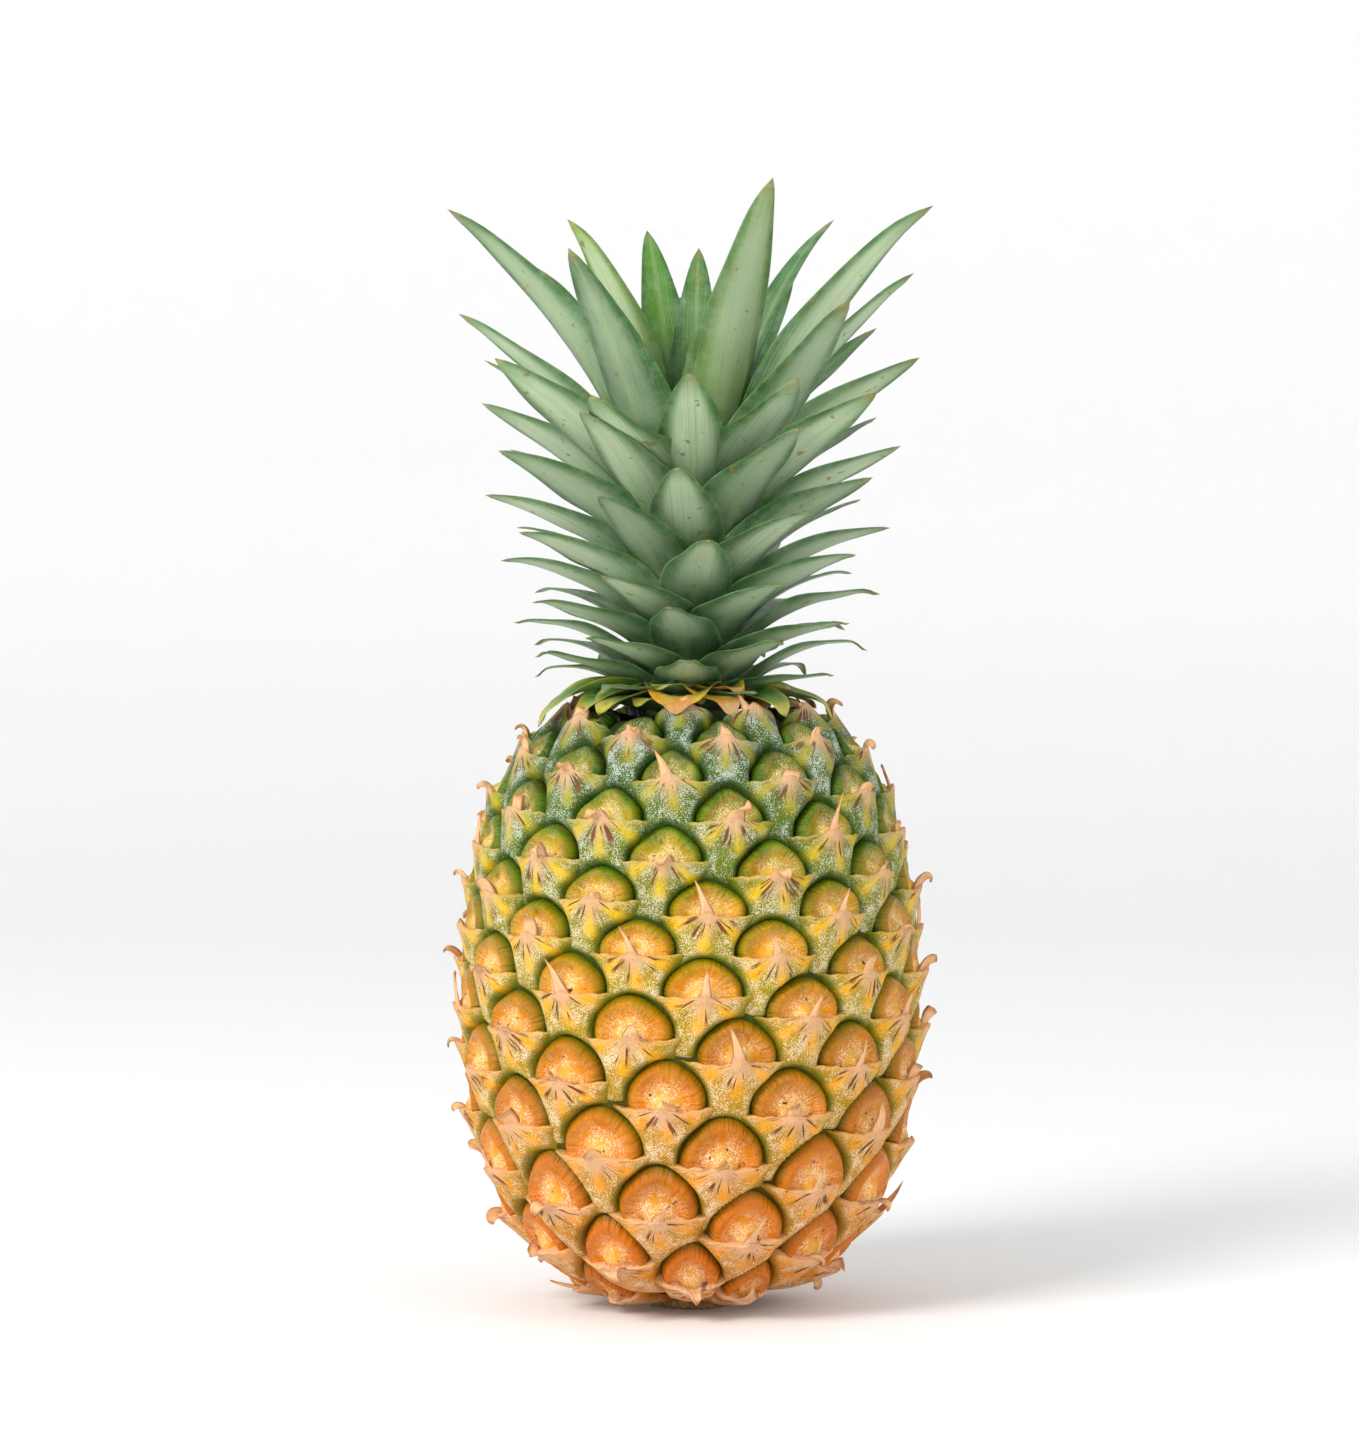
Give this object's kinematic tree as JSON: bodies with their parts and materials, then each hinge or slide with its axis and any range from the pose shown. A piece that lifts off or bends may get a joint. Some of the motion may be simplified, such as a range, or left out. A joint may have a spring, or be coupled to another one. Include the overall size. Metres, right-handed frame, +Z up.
{
  "type": "pineapple",
  "caption": "Whole ripe pineapple that stands on its base: a barrel-shaped fruit with raised eyes and dried bract tips under a crown of stiff channelled leaves.",
  "frame": {"origin": "middle of the cut stem's flat end, on the surface that the fruit stands on", "axes": "+Z up along the fruit's axis to the crown, -Y to the front seen in the picture, +X to the right"},
  "size_m": [0.1312, 0.1283, 0.303],
  "materials": {
    "rind": "uneven waxy rind, golden orange with green grooves",
    "crown_leaf": "waxy blue-green leaf with a pale bloom on its outer face",
    "cut_stem": "dry cut plant fibre"
  },
  "bodies": {
    "root": {"fruit": "rind", "crown": "crown_leaf", "cut_stem": "cut_stem"}
  },
  "joints": []
}
